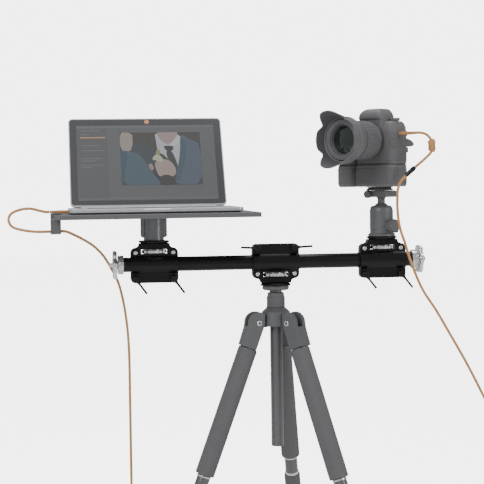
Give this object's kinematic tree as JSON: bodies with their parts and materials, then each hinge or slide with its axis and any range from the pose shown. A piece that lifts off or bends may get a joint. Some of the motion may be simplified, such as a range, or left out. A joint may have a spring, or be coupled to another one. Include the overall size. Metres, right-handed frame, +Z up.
{
  "type": "tethered camera rig",
  "caption": "Tripod cross bar with three lever clamps, a laptop tray at one end, a camera on a ball head at the other, and the leads that join them.",
  "frame": {"origin": "the middle of the floor area under the rig, without its leads", "axes": "+X along the bar towards the camera, -Y towards the person at the laptop, +Z up"},
  "size_m": [1.1578, 0.4946, 0.9883],
  "materials": {
    "black_satin": "black satin anodised",
    "black_gloss": "black gloss paint",
    "tripod_tube": "dark grey anodised",
    "tripod_grip": "dark grey foam and rubber",
    "tripod_casting": "dark grey painted casting",
    "head_metal": "dark grey satin",
    "head_knob": "dark grey rubber",
    "tray_metal": "dark grey powder coat",
    "clip_plastic": "grey moulded",
    "laptop_body": "silver satin",
    "laptop_screen": "screen in a silver lid",
    "silver": "silver anodised",
    "bright_steel": "bright plated",
    "camera_plastic": "dark grey grained",
    "camera_rubber": "ribbed rubber",
    "camera_button": "black gloss",
    "lens_glass": "green coated",
    "plug_plastic": "moulded",
    "orange_jacket": "orange satin jacket"
  },
  "bodies": {
    "tripod": {"tripod_shoulder": "tripod_casting"},
    "column": {"centre_column": "tripod_tube", "top_plate": "tripod_tube"},
    "collar": {"column_collar": "tripod_grip"},
    "middle_bracket": {"middle_front_shell": "black_satin", "middle_rear_shell": "black_satin", "middle_platform": "black_satin"},
    "middle_wheel": {"middle_stud_wheel": "bright_steel"},
    "middle_left_lever": {"middle_lever_left": "black_gloss"},
    "middle_right_lever": {"middle_lever_right": "black_gloss"},
    "bar": {"cross_bar": "black_satin", "left_end_cap": "silver", "right_end_cap": "silver"},
    "left_hand_wheel": {"left_end_wheel": "bright_steel"},
    "right_hand_wheel": {"right_end_wheel": "bright_steel"},
    "left_bracket": {"left_front_shell": "black_satin", "left_rear_shell": "black_satin", "left_platform": "black_satin"},
    "left_wheel": {"left_stud_wheel": "bright_steel"},
    "left_left_lever": {"left_lever_left": "black_gloss"},
    "left_right_lever": {"left_lever_right": "black_gloss"},
    "right_bracket": {"right_front_shell": "black_satin", "right_rear_shell": "black_satin", "right_platform": "black_satin"},
    "right_wheel": {"right_stud_wheel": "bright_steel"},
    "right_left_lever": {"right_lever_left": "black_gloss"},
    "right_right_lever": {"right_lever_right": "black_gloss"},
    "tray_top": {"tray": "tray_metal", "tray_mount": "tray_metal", "cable_clip": "clip_plastic", "laptop_base": "laptop_body", "laptop_plug": "plug_plastic", "laptop_lead": "orange_jacket", "lead_coupler": "plug_plastic"},
    "lid": {"laptop_lid": "laptop_screen"},
    "trackpad": {"laptop_trackpad": "laptop_body"},
    "head": {"ball_housing": "head_metal"},
    "head_lock": {"lock_knob": "head_knob"},
    "camera": {"ball_stem": "head_metal", "camera_plate": "head_metal", "camera_body": "camera_plastic", "battery_grip": "camera_plastic", "lens_barrel": "camera_plastic", "front_glass": "lens_glass", "lens_hood": "camera_plastic", "camera_plug": "plug_plastic", "camera_lead": "orange_jacket"},
    "clamp_screw": {"clamp_knob": "head_knob"},
    "zoom": {"zoom_ring": "camera_rubber"},
    "shutter": {"shutter_button": "camera_button"},
    "dial": {"mode_dial": "camera_plastic"},
    "rear_leg": {"rear_upper_leg": "tripod_grip"},
    "rear_lock": {"rear_leg_lock": "tripod_grip"},
    "rear_foot": {"rear_lower_leg": "tripod_tube"},
    "left_leg": {"left_upper_leg": "tripod_grip"},
    "left_lock": {"left_leg_lock": "tripod_grip"},
    "left_foot": {"left_lower_leg": "tripod_tube"},
    "right_leg": {"right_upper_leg": "tripod_grip"},
    "right_lock": {"right_leg_lock": "tripod_grip"},
    "right_foot": {"right_lower_leg": "tripod_tube"}
  },
  "joints": [
    {"name": "column_raise", "type": "slide", "parent": "tripod", "child": "column", "axis": [0, 0, 1], "range_m": [0, 0.22]},
    {"name": "collar_turn", "type": "hinge", "parent": "tripod", "child": "collar", "pos_m": [0.07555, -0.02279, 0.57175], "axis": [0, 0, 1], "range_deg": [0, 60]},
    {"name": "rear_leg_fold", "type": "hinge", "parent": "tripod", "child": "rear_leg", "pos_m": [0.0902, 0.01975, 0.52215], "axis": [-0.9455, 0.3256, 0], "range_deg": [0, 21]},
    {"name": "rear_lock_turn", "type": "hinge", "parent": "rear_leg", "child": "rear_lock", "pos_m": [0.1392, 0.16207, 0.13005], "axis": [0.1167, 0.3388, -0.9336], "range_deg": [0, 90]},
    {"name": "rear_leg_extend", "type": "slide", "parent": "rear_leg", "child": "rear_foot", "axis": [0.1167, 0.3388, -0.9336], "range_m": [0, 0.3]},
    {"name": "left_leg_fold", "type": "hinge", "parent": "tripod", "child": "left_leg", "pos_m": [0.03138, -0.03138, 0.52215], "axis": [0.1908, -0.9816, 0], "range_deg": [0, 21]},
    {"name": "left_lock_turn", "type": "hinge", "parent": "left_leg", "child": "left_lock", "pos_m": [-0.11637, -0.0601, 0.13005], "axis": [-0.3518, -0.0684, -0.9336], "range_deg": [0, 90]},
    {"name": "left_leg_extend", "type": "slide", "parent": "left_leg", "child": "left_foot", "axis": [-0.3518, -0.0684, -0.9336], "range_m": [0, 0.3]},
    {"name": "right_leg_fold", "type": "hinge", "parent": "tripod", "child": "right_leg", "pos_m": [0.10507, -0.05676, 0.52215], "axis": [0.7547, 0.6561, 0], "range_deg": [0, 21]},
    {"name": "right_lock_turn", "type": "hinge", "parent": "right_leg", "child": "right_lock", "pos_m": [0.20382, -0.17035, 0.13005], "axis": [0.2351, -0.2705, -0.9336], "range_deg": [0, 90]},
    {"name": "right_leg_extend", "type": "slide", "parent": "right_leg", "child": "right_foot", "axis": [0.2351, -0.2705, -0.9336], "range_m": [0, 0.3]},
    {"name": "bar_pan", "type": "hinge", "parent": "column", "child": "middle_bracket", "pos_m": [0.07555, -0.02279, 0.65475], "axis": [0, 0, 1], "range_deg": [-45, 45]},
    {"name": "middle_wheel_turn", "type": "hinge", "parent": "middle_bracket", "child": "middle_wheel", "pos_m": [0.07555, -0.02279, 0.62675], "axis": [0, 0, 1], "continuous": true},
    {"name": "bar_slide", "type": "slide", "parent": "middle_bracket", "child": "bar", "axis": [1, 0, 0], "range_m": [-0.05, 0.05]},
    {"name": "left_hand_wheel_turn", "type": "hinge", "parent": "bar", "child": "left_hand_wheel", "pos_m": [-0.27645, -0.02279, 0.65475], "axis": [1, 0, 0], "continuous": true},
    {"name": "right_hand_wheel_turn", "type": "hinge", "parent": "bar", "child": "right_hand_wheel", "pos_m": [0.39955, -0.02279, 0.65475], "axis": [1, 0, 0], "continuous": true},
    {"name": "left_bracket_slide", "type": "slide", "parent": "bar", "child": "left_bracket", "axis": [1, 0, 0], "range_m": [-0.01, 0.06], "deforming": ["laptop_lead", "lead_coupler"]},
    {"name": "right_bracket_slide", "type": "slide", "parent": "bar", "child": "right_bracket", "axis": [1, 0, 0], "range_m": [-0.05, 0.01], "deforming": ["camera_lead"]},
    {"name": "left_wheel_turn", "type": "hinge", "parent": "left_bracket", "child": "left_wheel", "pos_m": [-0.19145, -0.02279, 0.68275], "axis": [0, 0, 1], "continuous": true},
    {"name": "left_left_lever_turn", "type": "hinge", "parent": "left_bracket", "child": "left_left_lever", "pos_m": [-0.23245, -0.03879, 0.62325], "axis": [0, 1, 0], "range_deg": [-40, 40]},
    {"name": "left_right_lever_turn", "type": "hinge", "parent": "left_bracket", "child": "left_right_lever", "pos_m": [-0.15045, -0.03879, 0.62325], "axis": [0, 1, 0], "range_deg": [-40, 40]},
    {"name": "middle_left_lever_turn", "type": "hinge", "parent": "middle_bracket", "child": "middle_left_lever", "pos_m": [0.03455, -0.03879, 0.68625], "axis": [0, 1, 0], "range_deg": [-40, 40]},
    {"name": "middle_right_lever_turn", "type": "hinge", "parent": "middle_bracket", "child": "middle_right_lever", "pos_m": [0.11655, -0.03879, 0.68625], "axis": [0, 1, 0], "range_deg": [-40, 40]},
    {"name": "right_wheel_turn", "type": "hinge", "parent": "right_bracket", "child": "right_wheel", "pos_m": [0.31555, -0.02279, 0.68275], "axis": [0, 0, 1], "continuous": true},
    {"name": "right_left_lever_turn", "type": "hinge", "parent": "right_bracket", "child": "right_left_lever", "pos_m": [0.27455, -0.03879, 0.62325], "axis": [0, 1, 0], "range_deg": [-40, 40]},
    {"name": "right_right_lever_turn", "type": "hinge", "parent": "right_bracket", "child": "right_right_lever", "pos_m": [0.35655, -0.03879, 0.62325], "axis": [0, 1, 0], "range_deg": [-40, 40]},
    {"name": "tray_pan", "type": "hinge", "parent": "left_bracket", "child": "tray_top", "pos_m": [-0.19145, -0.02279, 0.71475], "axis": [0, 0, 1], "range_deg": [-90, 90], "deforming": ["laptop_lead", "lead_coupler"]},
    {"name": "lid_tilt", "type": "hinge", "parent": "tray_top", "child": "lid", "pos_m": [-0.19145, 0.09071, 0.77455], "axis": [1, 0, 0], "range_deg": [-7, 117]},
    {"name": "trackpad_press", "type": "slide", "parent": "tray_top", "child": "trackpad", "axis": [0, 0, -1], "range_m": [0, 0.0004], "stiffness_N_per_m": 2500, "springref_m": -0.0003},
    {"name": "head_pan", "type": "hinge", "parent": "right_bracket", "child": "head", "pos_m": [0.31555, -0.02279, 0.71475], "axis": [0, 0, 1], "range_deg": [-90, 90], "deforming": ["camera_lead"]},
    {"name": "head_lock_turn", "type": "hinge", "parent": "head", "child": "head_lock", "pos_m": [0.33357, -0.05163, 0.73075], "axis": [0.5299, -0.848, 0], "range_deg": [-120, 120]},
    {"name": "camera_tilt", "type": "hinge", "parent": "head", "child": "camera", "pos_m": [0.31555, -0.02279, 0.76235], "axis": [0.617, -0.7869, 0], "range_deg": [-25, 25], "deforming": ["camera_lead"]},
    {"name": "clamp_screw_turn", "type": "hinge", "parent": "camera", "child": "clamp_screw", "pos_m": [0.28494, -0.02265, 0.80005], "axis": [-0.7869, -0.617, 0], "range_deg": [-180, 180]},
    {"name": "zoom_turn", "type": "hinge", "parent": "camera", "child": "zoom", "pos_m": [0.25519, -0.07012, 0.91895], "axis": [-0.7869, -0.617, 0], "range_deg": [-45, 45]},
    {"name": "shutter_press", "type": "slide", "parent": "camera", "child": "shutter", "axis": [0, 0, -1], "range_m": [0, 0.001], "stiffness_N_per_m": 400, "springref_m": -0.0006},
    {"name": "mode_dial_turn", "type": "hinge", "parent": "camera", "child": "dial", "pos_m": [0.33921, -0.0627, 0.96275], "axis": [0, 0, 1], "range_deg": [-90, 150]}
  ]
}
